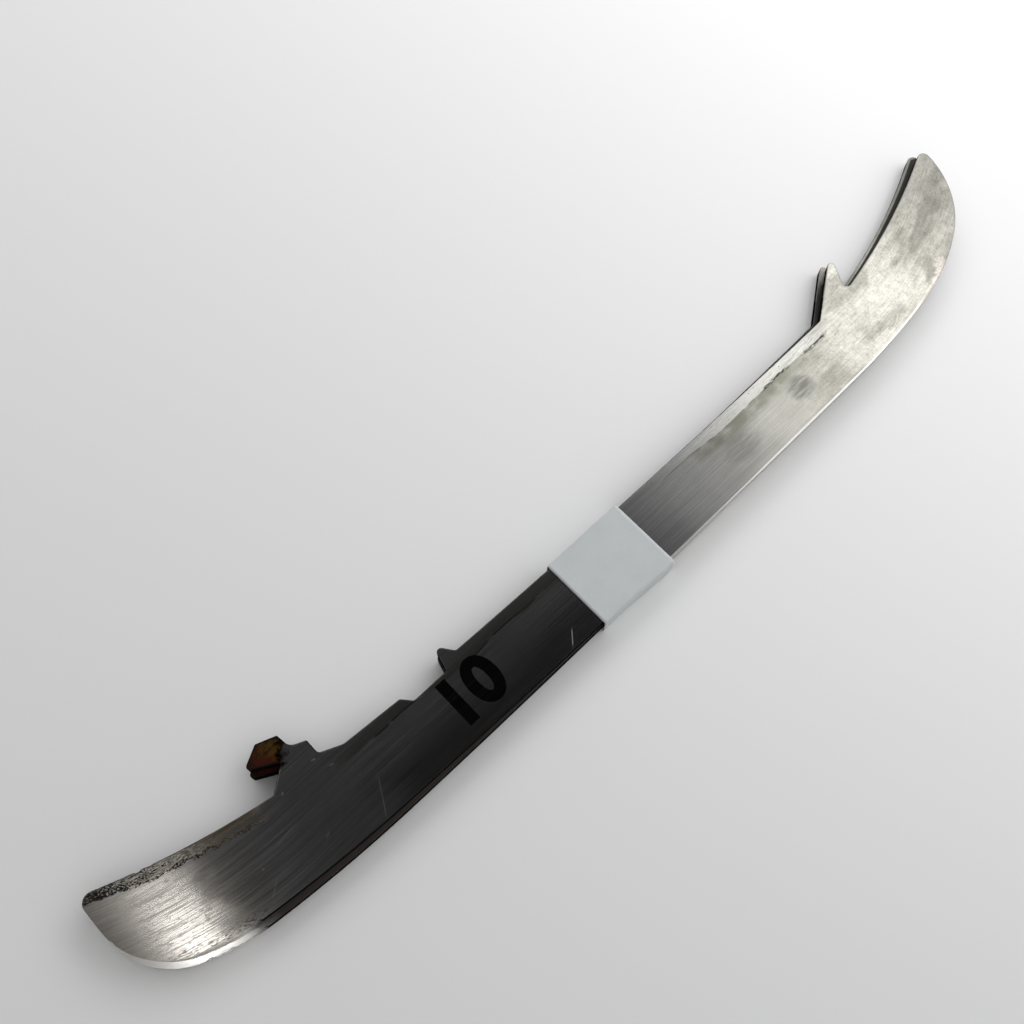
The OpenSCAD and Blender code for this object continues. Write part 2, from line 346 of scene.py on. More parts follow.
def slot_marks(s, p, colour):
    """The band that the holder covered, stained behind and scoured in front, and dirt along its lip."""
    wander = s.noise(s.vector(s.product(p.along, 0.05), 3.7), 1.0, 2.0)
    lip = s.span(p.along, *LIP_STEP, LIP_REAR, LIP_FRONT)
    lip = s.total(lip, s.vary(wander, -LIP_WANDER, LIP_WANDER, WIDE))
    over = s.less(p.up, lip)
    band = s.span(over, -0.15, 0.15)
    broken = s.noise(s.vector(s.product(p.along, 0.22), s.product(p.up, 0.3)), 1.0, 4.0)
    rear = s.product(band, s.window(p.along, *STAINED_BAND, 5), s.span(over, 4.0, 0.5))
    colour = s.mix(s.product(rear, 0.6), colour, SLOT_STAIN)

    # In front the band is scoured bright, more so towards the hook, and a film lies below it
    scoured = s.span(p.grain(s, 7.0, 0.35, 4.0), 0.30, 0.62, 0.3, 1.0)
    scoured = s.product(scoured, s.span(p.grain(s, 1.6, 0.4, 4.0), 0.32, 0.6, 0.4, 1.0))
    front = s.product(band, s.span(p.along, *SCOURED_GROWS), s.span(p.along, *SCOURED_ENDS))
    colour = s.mix(s.product(front, scoured, 0.6), colour, STEEL_GROUND)
    below = s.product(s.span(over, -5.5, -1.5), s.span(over, 0.1, -0.1), s.window(p.along, *FILM_BELOW, 8))
    film = s.product(below, s.span(broken, 0.25, 0.6, 0.4, 1.0), 0.75)
    colour = s.mix(film, colour, SLOT_FILM)
    return lip_dirt(s, p, colour, over, broken)


def lip_dirt(s, p, colour, over, broken):
    """Dirt along the lip: a thin olive line in front, black lines behind, and black clots and specks."""
    aside = s.magnitude(over)
    thin = s.product(s.span(aside, 0.30, 0.08), s.window(p.along, *OLIVE_LINE, 3))
    thin = s.product(thin, s.span(broken, 0.36, 0.5), 0.6)
    colour = s.mix(thin, colour, SLOT_FILM)
    behind = s.most(*(s.window(p.along, *line, 3) for line in BLACK_LINES))
    lines = s.product(s.span(aside, 0.6, 0.2), behind, s.span(broken, 0.28, 0.42), 0.9)
    clots = s.most(*(s.window(p.along, *clot) for clot in BLACK_CLOTS))
    torn = s.span(p.grain(s, 1.3, 0.4, 4.0), 0.40, 0.52, 0.15, 1.0)
    clots = s.product(clots, s.span(aside, 0.6, 0.15), s.span(broken, 0.38, 0.5), torn, 0.85)
    grit = p.grain(s, 0.9, 0.45, 1.0)
    specks = s.product(s.span(grit, 0.72, 0.76), s.window(p.along, *SPECKED_FRONT, 4))
    specks = s.product(specks, s.span(over, -4.0, 0.5), 0.9)
    dirt = s.most(lines, clots, specks)
    return s.mix(dirt, colour, RESIDUE), dirt


# Smudges on the front half: place and reach in mm
DARK_SMUDGE = ((71.0, 9.2), (5.2, 4.2))
FAINT_SMUDGE = ((47.5, 8.5), (7.5, 5.0))


def thumb_marks(s, p, colour):
    """Two soft dark smudges, rubbed along the grinding lines."""
    rubbed = s.span(p.grain(s, 5.0, 0.7, 3.0), 0.32, 0.62, 0.4, 1.0)
    dark = s.product(p.soft_spot(s, *DARK_SMUDGE), 0.75)
    faint = s.product(p.soft_spot(s, *FAINT_SMUDGE), 0.4)
    return s.mix(s.product(s.most(dark, faint), rubbed), colour, SMUDGE)


# Stains low on the heel, and painted shade in front of it, partly a dull film, that ends the heel's
# highlight: stretches in mm along the runner, and a height in mm over the ice level
HEEL_SHADE_LINE = (-125.8, -118.6)
HEEL_SHADE_UNEVEN = 3.0
HEEL_SHADE_FADES = (-106, -119)
HEEL_SHADE_OVER = (4.0, 7.0)
LOW_SPECKS = (-136, -115)


def heel_patina(s, p, colour, heel):
    """Fine stains on the heel, along the grinding lines and down to the ice edge, and painted shade in front
    of it.
    """
    spots = s.span(p.grain(s, 1.6, 0.45, 2.0), 0.54, 0.68)
    lines = s.span(p.grain(s, 14.0, 0.32), 0.46, 0.62)
    share = s.product(heel, s.most(spots, lines), 0.5)
    colour = s.mix(share, colour, HEEL_STAIN)

    # Painted shade in front of the heel, partly a dull film, which starts at an uneven line and ends the
    # heel's highlight
    uneven = s.total(p.along, s.vary(s.noise(p.spot, 0.15, 4.0), -HEEL_SHADE_UNEVEN, HEEL_SHADE_UNEVEN))
    film = s.product(s.span(uneven, *HEEL_SHADE_LINE), s.span(p.along, *HEEL_SHADE_FADES), s.span(p.up, *HEEL_SHADE_OVER))
    film = s.product(film, s.span(lines, 0.0, 1.0, 0.46, 0.26))
    colour = s.tint(colour, s.rest(film))
    low = s.product(s.span(p.from_ice, 3.2, 0.6), s.window(p.along, *LOW_SPECKS, 4))
    low = s.product(low, s.span(p.grain(s, 1.1, 0.42, 2.0), 0.52, 0.60), 0.8)
    return s.mix(low, colour, BROWN), share


# Strip that the holder covered over the heel: its lip as a point in mm, the rise per mm towards the
# heel's end, and where and by how much it gets steeper; then stretches in mm along the runner
HEEL_LIP = (-106.3, 21.5)
HEEL_LIP_RISE = 0.285
HEEL_LIP_KINK = -129.5
HEEL_LIP_MORE = 0.15
HEEL_LIP_RAGGED = 0.5
STRIP_STARTS = (-98, -105)
STRIP_DULLS = (-128, -108)
FLECKED = (-138, -116)
PITS_START = (-116, -130)
PITS_CROWD = (-132, -142)
PITS_CLUSTER = (-122, -128)
BROWNED = (-117, -99)


def heel_strip(s, p):
    """Where the strip over the heel lies, and where its lip does."""
    back = s.less(HEEL_LIP[0], p.along)
    beyond = s.most(s.less(HEEL_LIP_KINK, p.along), 0.0)
    lip = s.total(HEEL_LIP[1], s.product(back, HEEL_LIP_RISE), s.product(beyond, HEEL_LIP_MORE))
    ragged = s.vary(p.grain(s, 2.5, 1.2), -HEEL_LIP_RAGGED, HEEL_LIP_RAGGED)
    over = s.total(s.less(p.up, lip), ragged)
    on_heel = s.span(p.along, *STRIP_STARTS)
    strip = s.product(s.span(over, -0.25, 0.25), on_heel)
    return strip, s.product(s.span(s.magnitude(over), 0.75, 0.15), on_heel)


def heel_pits(s, p, strip, at_lip):
    """Pits along the lip, and more of them towards the heel's corner."""
    corner = s.total(s.span(p.along, *PITS_START, 0.0, 0.09), s.span(p.along, *PITS_CROWD, 0.0, 0.14))
    amount = s.most(corner, s.product(at_lip, 0.17))
    cluster = s.vary(p.grain(s, 3.2, 1.1, 3.0), -0.08, 0.08)
    cluster = s.product(cluster, s.span(p.along, *PITS_CLUSTER))
    grit = s.total(p.grain(s, 0.5, 0.3, 4.0), s.total(amount, cluster))
    return s.product(s.most(strip, at_lip), s.span(grit, 0.58, 0.70))


def heel_stain(s, p, colour):
    """The strip over the heel: stained, with pale flecks, black pits and brown stains."""
    strip, at_lip = heel_strip(s, p)
    colour = s.mix(s.product(strip, s.span(p.along, *STRIP_DULLS, 0.6, 0.9)), colour, HEEL_STAIN)
    flecks = s.product(strip, s.span(p.grain(s, 1.3, 0.4, 2.0), 0.50, 0.58))
    flecks = s.product(flecks, s.window(p.along, *FLECKED, 5), 0.8)
    colour = s.mix(flecks, colour, PIT_WHITE)
    pits = heel_pits(s, p, strip, at_lip)
    colour = s.mix(s.product(pits, 0.95), colour, PIT_BLACK)
    near = s.most(s.span(p.from_mount, 2.2, 0.5), at_lip)
    stain = s.product(strip, near, s.window(p.along, *BROWNED, 4))
    stain = s.product(stain, s.span(p.grain(s, 3.0, 0.9), 0.36, 0.52))
    return s.mix(s.product(stain, 0.9), colour, HEEL_BROWN), pits, strip, stain


# Rust on the rear tab: its slanted end as a point in mm and a run per mm of height, its limits along
# the runner and over the ice level, and where amber turns red
TAB_EDGE = (-87.6, 33.1)
TAB_EDGE_SLANT = 0.8
TAB_REACH = (-102, -83)
TAB_OVER = (26.6, 27.4)
TAB_MIDDLE = 31.0
TAB_RED = -92.2
TAB_RED_FADE = 1.8
TAB_RED_SLANT = 0.45


def tab_rust(s, p, colour):
    """Amber, red and brown rust on the rear tab, up to a slanted line across its neck."""
    at = s.vector(s.product(p.along, 0.6), p.up)
    patchy = s.noise(at, 0.75, 5.0, 0.7)
    edge = s.total(TAB_EDGE[0], s.product(s.less(p.up, TAB_EDGE[1]), TAB_EDGE_SLANT))
    before = s.total(s.less(edge, p.along), s.vary(patchy, -1.4, 1.4))
    limits = s.product(s.span(p.up, *TAB_OVER), s.window(p.along, *TAB_REACH, 0.5))
    rust = s.mix(s.span(patchy, 0.42, 0.56), BROWN, AMBER)
    inward = s.total(p.along, s.product(s.less(p.up, TAB_MIDDLE), TAB_RED_SLANT))
    inward = s.total(inward, s.vary(s.noise(at, 0.9, 4.0, 0.65), -2.0, 2.0))
    red = s.span(inward, TAB_RED + TAB_RED_FADE, TAB_RED - TAB_RED_FADE)
    rust = s.mix(s.product(red, 0.92), rust, RED_RUST)
    rim = s.most(s.span(patchy, 0.60, 0.72), s.span(p.from_mount, 0.7, 0.2))
    rust = s.mix(s.product(rim, 0.9), rust, PIT_BLACK)

    # The colour reaches further than the matte rust, so that no pale edge shows between them
    soiled = s.product(s.span(before, -3.2, -0.2), limits)
    matte = s.product(s.span(before, -0.3, 2.2), limits)
    return s.mix(soiled, colour, rust), matte


# Scratches in mm: start, end, half width and strength
SCRATCHES = (
    ((-18.8, 4.0), (-21.7, 0.7), 0.18, 0.9),
    ((-76.8, 9.8), (-81.5, 1.6), 0.11, 0.3),
    ((-112.0, 6.0), (-109.0, 8.2), 0.12, 0.3),
    ((-104.5, 14.0), (-98.0, 15.0), 0.12, 0.2),
    ((98.0, 6.4), (108.0, 8.4), 0.12, 0.25),
    ((102.0, 3.4), (106.5, 5.6), 0.14, 0.35),
    ((112.0, 12.2), (117.0, 10.2), 0.12, 0.3),
    ((-95.9, 22.0), (-95.3, 22.5), 0.25, 0.45),
    ((-110.0, 12.1), (-109.4, 12.3), 0.2, 0.35),
    ((-94.6, 7.6), (-93.4, 8.1), 0.16, 0.3),
    ((-85.8, 23.5), (-84.7, 23.2), 0.22, 0.4),
    ((-83.4, 19.6), (-82.3, 19.4), 0.2, 0.35),
    ((-92.6, 27.0), (-92.2, 27.5), 0.2, 0.5),
)


def scratches(s, p, colour):
    """Light scratches and small bruises, which scatter light."""
    strokes = [s.product(p.stroke(s, *scratch[:3]), scratch[3]) for scratch in SCRATCHES]
    marks = s.most(0.0, *strokes)
    return s.mix(marks, colour, STEEL_GROUND), marks


# Edges of the faces: stretches in mm along the runner, and the width of the bright line in mm
LINE_GROWS = (12, 62)
LINE_WIDTH = (0.22, 0.46)
LINE_SOFT = 0.12
LINE_SHARE = (0.55, 0.9)
BRIGHT_LINE = (-8, 112)
# Stretch of the pale strip under the heel, which is painted as a highlight
PALE_HEEL_HIGHLIGHT = (-116, -122)
WORN_TOE = (110, 122)


def worn_sides(s, p, colour, shade_and_grime):
    """A bright line by the ice edge in front, a pale strip under the heel painted as a highlight on bare
    steel, and worn rims.
    """
    width = s.span(p.along, *LINE_GROWS, *LINE_WIDTH)
    line = s.product(s.span(p.from_ice, s.total(width, LINE_SOFT), width), s.window(p.along, *BRIGHT_LINE, 6))
    line = s.product(line, s.span(p.along, *LINE_GROWS, *LINE_SHARE))
    # The pale, matte strip under the heel is a painted highlight on bare steel
    bare_and_highlight = s.product(s.span(p.from_ice, 3.5, 2.5), s.span(p.along, *PALE_HEEL_HIGHLIGHT), shade_and_grime)
    colour = s.mix(s.most(line, bare_and_highlight), colour, ICE_PALE)
    outer = s.product(s.span(p.from_ice, 0.5, 0.1), s.span(p.along, *WORN_TOE), 0.6)
    colour = s.mix(outer, colour, STEEL_WORN)
    rim = s.product(s.span(p.from_mount, 0.4, 0.1), 0.7)
    return s.mix(rim, colour, STEEL_WORN), line, bare_and_highlight


# What shows of the runner under the other one, with painted shade and grime: stretches in mm along the runner
TOE_RIM = (97, 106)
BROWN_ICE = (-116, -8)


def overhang_shade_and_grime(s, p, colour, shade_and_grime, clean):
    """Painted shade, with some grime, towards the holder's side where the other runner overhangs, except
    where the steel is clean, and brown by the ice edge.
    """
    # Painted shade where the upper runner's edge overhangs the lower runner, with some grime
    covered = s.product(s.span(p.from_mount, 6.0, 4.0), s.span(p.from_mount, 0.05, 0.3), shade_and_grime)
    toe_rim = s.product(s.span(p.along, *TOE_RIM), s.span(p.from_mount, 0.9, 0.6), 0.5)
    covered = s.product(covered, s.rest(toe_rim), s.rest(clean))
    colour = s.mix(covered, colour, GRIME_AND_SHADE)
    brown = s.product(s.span(p.from_ice, 4.0, 3.0), s.window(p.along, *BROWN_ICE, 4), shade_and_grime)
    return s.mix(brown, colour, EDGE_BROWN), covered, brown


# Thin film that scatters light: a height over the ice level and a stretch along the runner, in mm
FILM_GROWS = (3, 15)
FILM_REAR = (-118, -76)


def thin_film(s, p, fine, bare_of_film):
    """Share of a film near the holder's side and before the heel, broken by the grinding lines."""
    rear = s.product(s.window(p.along, *FILM_REAR, 10), 0.04)
    film = s.most(s.span(p.up, *FILM_GROWS, 0.0, 0.05), rear)
    return s.product(film, s.vary(fine, 0.75, 1.25, WIDE), s.rest(bare_of_film))


# Bump of each surface: strength, and depth in m
GRAIN_BUMP = (0.04, 0.00001)
RUST_BUMP = (0.3, 0.00002)
ICE_BUMP = (0.2, 0.00001)
PAPER_BUMP = (0.25, 0.00004)

GRAIN_ANISOTROPY = 0.75
PAPER_ROUGHNESS = 0.62


def face_steel(name, shade_and_grime):
    """Worn, ground steel of a runner's faces, with what years in a holder left on it, and painted shade and
    highlights.
    """
    material, s = new_material(name)
    p = Place(s)
    coarse = p.grain(s, 30.0, 0.42)
    fine = p.grain(s, 16.0, 0.17)
    colour, toe, heel = broad_tone(s, p, coarse, fine)
    colour, clouds = toe_clouds(s, p, colour)
    colour, dirt = slot_marks(s, p, colour)
    colour = thumb_marks(s, p, colour)
    colour, patina = heel_patina(s, p, colour, heel)
    colour, pits, strip, stain = heel_stain(s, p, colour)
    colour, line, bare_and_highlight = worn_sides(s, p, colour, shade_and_grime)
    colour, marks = scratches(s, p, colour)
    colour, tab = tab_rust(s, p, colour)
    colour, covered, brown = overhang_shade_and_grime(s, p, colour, shade_and_grime, s.most(heel, tab))

    # Rust, stains, scratches, the bright steel by the ice edge and the pale strip painted as a highlight
    # scatter light
    dull = s.most(pits, dirt)
    film = thin_film(s, p, fine, s.most(dull, covered))
    matte = s.total(tab, film, s.product(marks, 0.35))
    matte = s.most(matte, brown, s.product(bare_and_highlight, 0.45), s.product(stain, 0.9), s.product(line, 0.8))
    rough = s.total(s.vary(coarse, 0.13, 0.16, WIDE), s.product(toe, 0.15), s.product(clouds, 0.10))
    stained = s.most(dull, tab, s.product(strip, 0.4))
    rough = s.total(rough, s.product(patina, 0.08), s.product(stained, 0.2))
    height = s.less(s.product(s.total(coarse, fine), 0.2), s.product(pits, 4.0))
    across = s.node("ShaderNodeVectorTransform", {0: (0, 1, 0)}, vector_type="VECTOR",
                    convert_from="OBJECT", convert_to="WORLD")
    finish_material(s, base_color=colour, metallic=s.rest(matte), roughness=rough,
                    anisotropic=GRAIN_ANISOTROPY, specular_ior_level=0.1,
                    normal=s.bump(*GRAIN_BUMP, height), tangent=across.outputs[0])
    return material


def mount_edge_steel():
    """Blackened edge that sits in the holder, rusty in places."""
    material, s = new_material("runner_mount_edge")
    p = Place(s)
    rust = s.span(s.noise(p.object, 420, 4.0, 0.65), 0.52, 0.68)
    colour = s.mix(s.product(rust, 0.6), EDGE_BLACK, EDGE_RUST)
    rough = s.vary(s.noise(p.object, 900, 3.0), 0.5, 0.7)
    finish_material(s, base_color=colour, metallic=0.0, roughness=rough, specular_ior_level=0.0,
                    normal=s.bump(*RUST_BUMP, rust))
    return material


# Stretch in mm along the runner where the ice edge is blackened
DARK_ICE = (-117.5, -8.0)


def ice_edge_steel():
    """Ground ice edge with fine lines along it: bright in front, and on the heel specked and painted pale as
    a highlight.
    """
    material, s = new_material("runner_ice_edge")
    p = Place(s)
    lines = s.noise(s.vector(s.product(p.along, 0.2), s.product(p.depth, 9.0)), 1.0, 3.0)
    heel = s.span(p.along, DARK_ICE[0] + 2, DARK_ICE[0] - 6)
    front = s.span(p.along, DARK_ICE[1] - 2, DARK_ICE[1])
    # On the heel the ice edge is painted pale and nearly matte: a painted highlight
    colour = s.mix(heel, STEEL_GROUND, ICE_PALE)
    colour = s.tint(colour, s.total(s.vary(lines, 0.6, 0.9, WIDE), s.product(heel, 0.22)))
    colour = s.tint(colour, s.span(s.most(heel, front), 0.0, 1.0, 0.1, 1.0))
    specks = s.product(heel, s.span(s.noise(p.object, 1500, 2.0), 0.58, 0.66), 0.8)
    colour = s.mix(specks, colour, HEEL_BROWN)
    rough = s.total(s.vary(lines, 0.2, 0.34, WIDE), s.product(heel, 0.2))
    finish_material(s, base_color=colour, metallic=s.span(heel, 0.0, 1.0, 1.0, 0.1), roughness=rough,
                    normal=s.bump(*ICE_BUMP, lines))
    return material


def label_paper():
    """Matte white label stock, faintly fibrous and handled."""
    material, s = new_material("label_paper")
    spot = s.coordinates("Object")
    fibre = s.noise(spot, 2600, 3.0, 0.6)
    handled = s.noise(spot, 160, 3.0, 0.6)
    colour = s.mix(s.span(handled, 0.35, 0.75, 0.0, 0.5), PAPER, PAPER_HANDLED)
    colour = s.tint(colour, s.span(fibre, 0.2, 0.8, 0.96, 1.03))
    height = s.total(s.product(fibre, 0.4), handled)
    finish_material(s, base_color=colour, roughness=PAPER_ROUGHNESS, normal=s.bump(*PAPER_BUMP, height))
    return material


def label_glue():
    """Dried, slightly yellow label adhesive."""
    material, s = new_material("label_glue")
    mottled = s.noise(s.coordinates("Object"), 700, 3.0)
    colour = s.mix(s.vary(mottled, 0.0, 1.0), GLUE_DARK, GLUE_PALE)
    finish_material(s, base_color=colour, roughness=s.vary(mottled, 0.35, 0.5))
    return material


def etched_black():
    """Black etched mark, a little worn along the grinding lines."""
    material, s = new_material("etched_black")
    p = Place(s)
    fine = p.grain(s, 22.0, 0.22)
    worn = s.span(s.total(p.grain(s, 38.0, 0.6), s.product(fine, 0.4)), 0.74, 0.95)
    colour = s.mix(s.product(worn, 0.2), ETCH_BLACK, ETCH_WORN)
    rough = s.span(fine, 0.2, 0.8, 0.45, 0.6)
    finish_material(s, base_color=colour, roughness=rough, specular_ior_level=0.0)
    return material


# Edges of a runner: the broken corner, the hollow of the ice edge, and the spacing of its mesh
RIM = 0.16                      # mm, radius of the broken corners
RIM_ANGLES = (0, 45, 90)        # degrees round a broken corner
WALL_SHARES = (0.25, 0.5, 0.75)  # of the plate's thickness
HOLLOW = 0.06                   # mm, depth of the hollow ground into the ice edge
SUPPORT = 0.4                   # mm, strip beside the corners that keeps the faces flat
EDGE_STEP = 0.5                 # mm between points of the outline
FACE_STEP = 2.5                 # mm between points inside a face
EDGE_FADE = 4.0                 # mm over which the hollow runs out
DARK_RIM_TO = 96.0              # mm along the runner up to which the holder's side has blackened corners
SHARP = 60                      # degrees between faces that meet in a sharp edge
SAME_LEVEL = 0.01               # mm between heights that count as one
SAME_PLACE = 3                  # decimals of a mm to which two corners agree
SAME_POINT = 1e-6               # mm between points that the triangulation merges
FILL_INSIDE = 1                 # the triangulation's number for filling an outline's inside

# Order of a runner's materials
FACE, DARK_EDGE, ICE_EDGE = range(3)


def top_outline(node):
    """Outline of a flat node's upper face, counter-clockwise, as points in mm."""
    mesh = frame["nodes"][node].data
    top = max(v.co.z for v in mesh.vertices)
    places = {}
    edges = set()
    for face in mesh.polygons:
        corners = [mesh.vertices[i].co for i in face.vertices]
        if any(top - c.z > SAME_LEVEL * MM for c in corners):
            continue
        keys = [(round(c.x / MM, SAME_PLACE), round(c.y / MM, SAME_PLACE)) for c in corners]
        places.update((k, (c.x / MM, c.y / MM)) for k, c in zip(keys, corners))
        edges.update(zip(keys, keys[1:] + keys[:1]))
    follow = {a: b for a, b in edges if (b, a) not in edges}
    loop = [max(follow)]
    while follow[loop[-1]] != loop[0]:
        loop.append(follow[loop[-1]])
    return np.array([places[k] for k in loop])


def filled_in(points, step):
    """The same closed outline with no stretch longer than step."""
    out = []
    for a, b in zip(points, np.roll(points, -1, axis=0)):
        count = max(1, math.ceil(np.linalg.norm(b - a) / step))
        out.extend(a + (b - a) * i / count for i in range(count))
    return np.array(out)


def outward(points):
    """Outward directions at the points of a counter-clockwise outline."""
    before = points - np.roll(points, 1, axis=0)
    after = np.roll(points, -1, axis=0) - points
    ahead = before / np.linalg.norm(before, axis=1)[:, None] + after / np.linalg.norm(after, axis=1)[:, None]
    ahead /= np.linalg.norm(ahead, axis=1)[:, None]
    return np.stack([ahead[:, 1], -ahead[:, 0]], axis=1)


def travel(points):
    """Distance along a closed outline to each of its points, and the whole length."""
    steps = np.linalg.norm(np.roll(points, -1, axis=0) - points, axis=1)
    return np.concatenate([[0], np.cumsum(steps)[:-1]]), steps.sum()


def distance_to(spots, chain):
    """Least distance from each spot to an open chain of points."""
    a, b = chain[:-1], chain[1:]
    d = b - a
    near = np.full(len(spots), np.inf)
    for start, way in zip(a, d):
        share = np.clip(((spots - start) @ way) / (way @ way), 0, 1)
        near = np.minimum(near, np.linalg.norm(spots - start - share[:, None] * way, axis=1))
    return near


def inside(spots, outline):
    """Which spots lie inside a closed outline."""
    x, y = spots[:, 0], spots[:, 1]
    odd = np.zeros(len(spots), bool)
    for a, b in zip(outline, np.roll(outline, -1, axis=0)):
        if a[1] == b[1]:
            continue
        crosses = (a[1] > y) != (b[1] > y)
        odd ^= crosses & (x < a[0] + (y - a[1]) * (b[0] - a[0]) / (b[1] - a[1]))
    return odd


def nicked(points, nicks):
    """The outline with small dents: each is a place, a half width and a depth in mm."""
    points = points.copy()
    way, length = travel(points)
    out = outward(points)
    for place, half, depth in nicks:
        at = way[np.argmin(np.linalg.norm(points - np.array(place), axis=1))]
        off = np.abs(way - at)
        off = np.minimum(off, length - off)
        dent = np.where(off < half, np.cos(off / half * math.pi / 2), 0)
        points -= out * (depth * np.sqrt(dent))[:, None]
    return points


def ice_run(points):
    """Numbers of the heel's and the tip's points, and how much each point belongs to the ice edge."""
    way, length = travel(points)
    tip = int(np.argmax(points.sum(axis=1)))
    heel = int(np.argmin(points[:, 0] - points[:, 1]))
    ice_length = (way[tip] - way[heel]) % length
    past_heel = (way - way[heel]) % length
    return heel, tip, np.clip(np.minimum(past_heel, ice_length - past_heel) / EDGE_FADE, 0, 1)


def edge_levels():
    """Levels from the underside to the upper face: height, and how far each lies inside the outline."""
    plate = PLATE / MM
    angles = [math.radians(a) for a in RIM_ANGLES]
    corner = [(RIM * (1 - math.cos(a)), RIM * (1 - math.sin(a))) for a in angles]
    walls = [(plate * share, 0) for share in WALL_SHARES]
    upper_corner = [(plate - z, inset) for z, inset in reversed(corner)]
    return [(0, SUPPORT)] + corner + walls + upper_corner + [(plate, SUPPORT)]


def edge_rings(points, ice, levels):
    """One ring of points for each level, hollow along the ice edge."""
    out = outward(points)
    rings = []
    for index, (z, inset) in enumerate(levels):
        hollow = HOLLOW * (1 - (2 * z / (PLATE / MM) - 1) ** 2)
        ice_inset = inset if index in (0, len(levels) - 1) else hollow
        depth = inset + (ice_inset - inset) * ice
        rings.append(np.column_stack([points - out * depth[:, None], np.full(len(points), z)]))
    return rings


def edge_kind(level, levels, along, on_ice):
    """Which material a face of the edge has, by its level and its place along the runner."""
    wall = len(RIM_ANGLES) <= level < levels - 1 - len(RIM_ANGLES)
    corner = 1 <= level < levels - 2
    if on_ice and wall:
        return DARK_EDGE if DARK_ICE[0] < along < DARK_ICE[1] else ICE_EDGE
    if on_ice:
        return FACE
    return DARK_EDGE if wall or (corner and along < DARK_RIM_TO) else FACE


def edge_faces(points, ice, levels):
    """Faces between the rings, and the material of each."""
    count = len(points)
    faces = []
    kinds = []
    for level in range(levels - 1):
        low, high = level * count, (level + 1) * count
        for i in range(count):
            j = (i + 1) % count
            faces.append([low + i, low + j, high + j, high + i])
            kinds.append(edge_kind(level, levels, points[i, 0], ice[i] > 0.5))
    return faces, kinds


def face_grid(rim):
    """Points inside a face, clear of its rim."""
    low, high = rim.min(axis=0), rim.max(axis=0)
    x = np.arange(low[0], high[0], FACE_STEP)
    y = np.arange(low[1], high[1], FACE_STEP)
    grid = np.stack(np.meshgrid(x, y), -1).reshape(-1, 2)
    grid = grid[inside(grid, rim)]
    return grid[distance_to(grid, np.vstack([rim, rim[:1]])) > FACE_STEP / 2]


def flat_faces(rim, grid, levels):
    """Triangles of the upper face and of the underside, between the points of the rim and of the grid."""
    count = len(rim)
    flat = [Vector(p) for p in np.vstack([rim, grid])]
    filled = delaunay_2d_cdt(flat, [], [list(range(count))], FILL_INSIDE, SAME_POINT)
    triangles, origins = filled[2], filled[3]
    upper_rim = (levels - 1) * count
    upper_grid = levels * count
    under_grid = upper_grid + len(grid)
    faces = []
    for triangle in triangles:
        face = [origins[i][0] for i in triangle]
        faces.append([upper_rim + i if i < count else upper_grid + i - count for i in face])
        faces.append([i if i < count else under_grid + i - count for i in reversed(face)])
    return faces


def add_distances(mesh, name, chain, rings, grid):
    """Keeps each point's distance in mm from a chain; the edge's rings share the lowest corner's."""
    on_face, on_edge = (distance_to(ring[:, :2], chain) for ring in rings[:2])
    values = [on_face] + [on_edge] * (len(rings) - 2) + [on_face] + [distance_to(grid, chain)] * 2
    made = mesh.attributes.new(name, "FLOAT", "POINT")
    made.data.foreach_set("value", np.concatenate(values).astype(np.float32))


def stretch(points, start, end):
    """The points of a closed outline from one number to another."""
    count = len(points)
    return points[(start + np.arange((end - start) % count + 1)) % count]


def runner_mesh(name, outline, nicks):
    """A runner with broken corners, a hollow ice edge and nicks, its underside at z = 0."""
    points = nicked(filled_in(outline, EDGE_STEP), nicks)
    heel, tip, ice = ice_run(points)
    levels = edge_levels()
    rings = edge_rings(points, ice, levels)
    rim = rings[-1][:, :2]
    grid = face_grid(rim)
    grids = [np.column_stack([grid, np.full(len(grid), z)]) for z in (PLATE / MM, 0)]
    sides, kinds = edge_faces(points, ice, len(levels))
    flats = flat_faces(rim, grid, len(levels))
    faces = sides + flats
    mesh = bpy.data.meshes.new(name)
    mesh.from_pydata((np.vstack(rings + grids) * MM).tolist(), [], faces)
    mesh.polygons.foreach_set("material_index", kinds + [FACE] * len(flats))
    mesh.polygons.foreach_set("use_smooth", [True] * len(faces))
    add_distances(mesh, "from_ice", stretch(points, heel, tip), rings, grid)
    add_distances(mesh, "from_mount", stretch(points, tip, heel), rings, grid)
    mesh.set_sharp_from_angle(angle=math.radians(SHARP))
    mesh.validate()
    return mesh


def add_piece(name, mesh, materials):
    for material in materials:
        mesh.materials.append(material)
    piece = bpy.data.objects.new(name, mesh)
    bpy.context.scene.collection.objects.link(piece)
    return piece


# Nicks in mm of a runner's own frame: place, half width and depth
UPPER_NICKS = [((-130.8, 22.6), 0.9, 0.30), ((-127.9, 21.5), 0.6, 0.15), ((-144.5, 14.0), 0.6, 0.15)]
LOWER_NICKS = [((-130.4, -1.6), 0.8, 0.35), ((-125.7, -3.2), 0.6, 0.30)]

# How much painted shade and grime the runners' faces get, 0 to 1; it also brings in the brown by the ice edge
# and the pale heel strip
UPPER_SHADE_AND_GRIME = 0.0
LOWER_SHADE_AND_GRIME = 0.97


